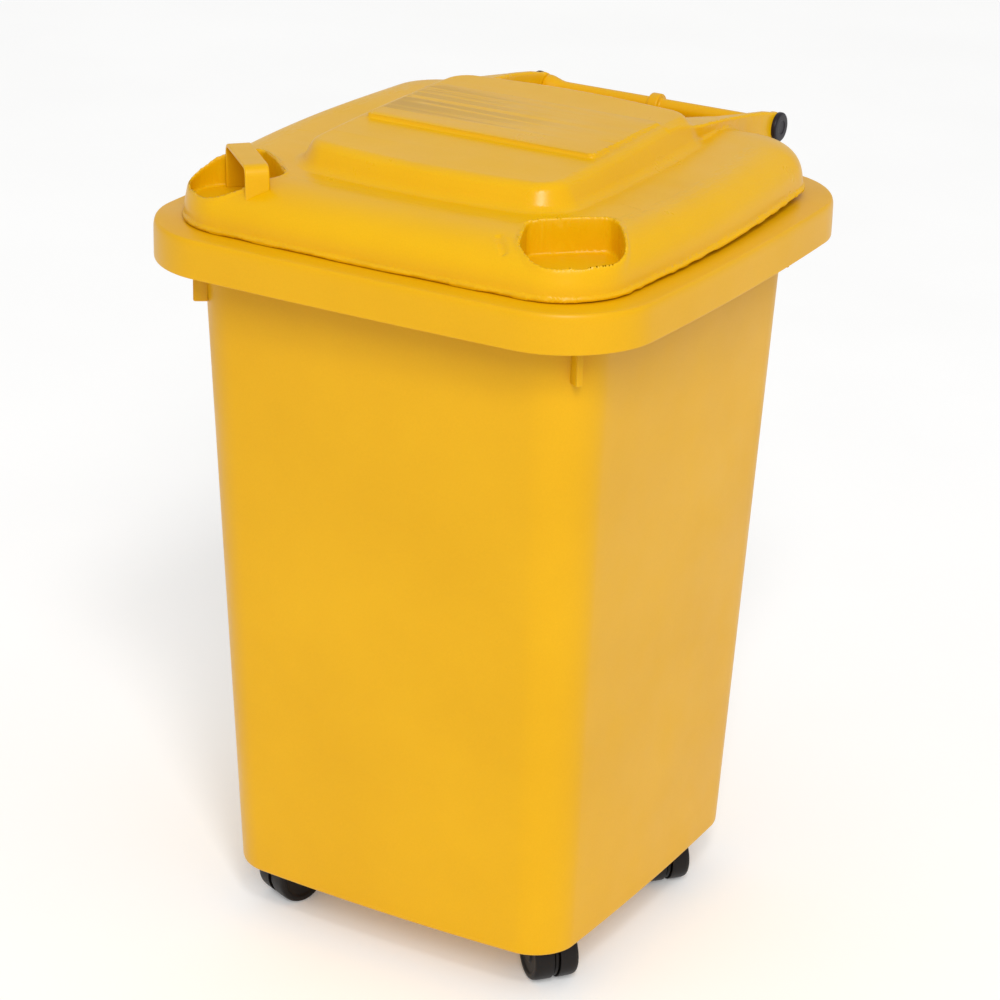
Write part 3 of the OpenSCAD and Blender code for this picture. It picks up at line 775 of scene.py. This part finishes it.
def pin_mesh(side):
    x0 = 105.8
    profile = rounded([(0, 70.5, 0), (3.5, 70.5, 0.8), (3.5, x0, 0.4), (11.5, x0, 0.5), (11.5, x0 + 3.8, 2.2),
                       (5.5, x0 + 3.8, 0.6), (5.2, x0 + 3.2, 0.3), (0, x0 + 3.2, 0)], steps=5)
    return lathe_mesh("hinge_pin", profile, (0, TUB_Y + HINGE_BACK, HINGE_Z), (side, 0, 0))


WHEEL_R, AXLE_BACK = 20.0, 12.0


def wheel_profile():
    inner, outer = 2.2, 17.2
    return rounded([(2.56, inner, 0), (15, inner, 0.4), (15.6, inner + 0.8, 0.4), (18.2, inner + 0.8, 0.4),
                    (WHEEL_R, inner, 0.9), (WHEEL_R, outer, 5.5), (15.2, outer, 0.8),
                    (13.6, outer - 1.3, 1.0),
                    (6.4, outer - 1.3, 0.8), (5.4, outer, 0.8), (0, outer, 0), ], steps=5)


def hood_field(x, y, z):
    """The hood in the caster's own frame: a fender over both wheels, a web between them and a neck."""
    r = np.hypot(x + AXLE_BACK, z - WHEEL_R)
    angle = np.degrees(np.arctan2(z - WHEEL_R, x + AXLE_BACK))
    ends = np.radians(np.abs(angle - 34.5) - 61.5) * r
    fender = cut_max(cut_max(np.abs(r - 22.15) - 1.25, np.abs(y) - 17.2, 0.8), ends, 0.8)
    web = cut_max(r - 18.8, np.abs(y) - 1.8, 0.4)
    stay = np.maximum(np.maximum(np.abs(y) - 1.8, np.abs(x + 4) - 8), np.maximum(20 - z, r - 22))
    neck = np.maximum(np.maximum(cut_max(np.hypot(x, y) - 8, z - 49.6, 0.9), 21.6 - r), 28 - z)
    hood = join_min(join_min(fender, neck, 2.0), np.minimum(web, stay), 0.8)
    bore = np.maximum(np.hypot(x, y) - 4.06, 41.1 - z)
    return np.maximum(np.maximum(hood, -bore), 2.52 - r)


def caster_frame(name):
    """Where a caster's own frame lies: on the floor under its swivel, with the axle behind it on -X."""
    swivel = next(j for j in frame["joints"] if j["child"] == name)["pos_m"]
    spin = next(j for j in frame["joints"] if j["child"] == name + "_wheel_a")["pos_m"]
    ahead = Vector((swivel[0] - spin[0], swivel[1] - spin[1], 0)).normalized()
    side = Vector((0, 0, 1)).cross(ahead)
    return Matrix(((ahead.x, side.x, 0, swivel[0] / MM), (ahead.y, side.y, 0, swivel[1] / MM), (0, 0, 1, 0),
                   (0, 0, 0, 1)))


def build_casters(hood_material, wheel_material):
    hood = skin("hood", hood_field, (-38, -19, -2), (14, 19, 52), 0.8)
    for name in ("caster_fl", "caster_fr", "caster_rl", "caster_rr"):
        place = caster_frame(name)
        mesh = hood.copy()
        mesh.transform(place)
        add_piece(name + "_hood_moulded", mesh, name, hood_material, [name + "_hood"], 50)
        for letter, side in (("a", 1), ("b", -1)):
            mesh = lathe_mesh("wheel", wheel_profile(), (-AXLE_BACK, 0, WHEEL_R), (0, side, 0))
            mesh.transform(place)
            wheel = f"{name}_wheel_{letter}"
            add_piece(wheel + "_moulded", mesh, wheel, wheel_material, [wheel], 35)
    bpy.data.meshes.remove(hood)


# Assembly --------------------------------------------------------------------------------------

def build():
    tub_yellow = moulded("tub_plastic", (0.71, 0.368, 0.0), (0.76, 0.402, 0.001), sub=0.1)
    lid_yellow = moulded("lid_plastic", (0.74, 0.398, 0.0), (0.79, 0.434, 0.001), rough=(0.26, 0.38), sub=0.1)
    strap_yellow = moulded("strap_plastic", (0.74, 0.398, 0.0), (0.79, 0.434, 0.001), rough=(0.3, 0.4),
                           sub=0.1)
    pin_black = moulded("pin_plastic", (0.010, 0.008, 0.012), (0.018, 0.015, 0.020), rough=(0.32, 0.45),
                        dust=(0.25, 0.24, 0.25))
    hood_black = moulded("hood_plastic", (0.005, 0.004, 0.0035), (0.009, 0.007, 0.006), rough=(0.34, 0.48),
                         dust=(0.25, 0.22, 0.2))
    wheel_black = moulded("wheel_plastic", (0.006, 0.0045, 0.004), (0.011, 0.008, 0.007), rough=(0.38, 0.52),
                          scuffs=0.8, dust=(0.3, 0.26, 0.22))
    steel = brushed_steel("zinc_steel")

    swivels = []
    for name in ("caster_fl", "caster_fr", "caster_rl", "caster_rr"):
        position = next(j for j in frame["joints"] if j["child"] == name)["pos_m"]
        swivels.append((position[0] / MM, position[1] / MM))
    add_piece("tub_shell", tub_mesh(), "tub", tub_yellow, ["tub"], 50)
    add_piece("tub_handle", handle_mesh(), "tub", tub_yellow, sharp=40)
    add_piece("tub_lugs", lugs_mesh(), "tub", tub_yellow, sharp=40)
    add_piece("tub_bosses", bosses_mesh(swivels), "tub", tub_yellow, sharp=40)
    add_piece("lid_shell", lid_mesh(), "lid", lid_yellow, ["lid"])
    add_piece("grip_strap_moulded", strap_mesh(), "lid", strap_yellow, ["grip_strap"])
    for name, side in (("hinge_pin_left", -1), ("hinge_pin_right", 1)):
        add_piece(name + "_moulded", pin_mesh(side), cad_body(name), pin_black, [name], 40)
    build_casters(hood_black, wheel_black)
    for name, cad in frame["nodes"].items():
        if name.endswith(("_stem", "_axle")):
            for slot in cad.material_slots:
                slot.material = steel


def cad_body(cad_node):
    bodies = frame["record"]["behaviour"]["bodies"]
    return next(body for body, members in bodies.items() if cad_node in members)


add_camera()
add_stage()
build()
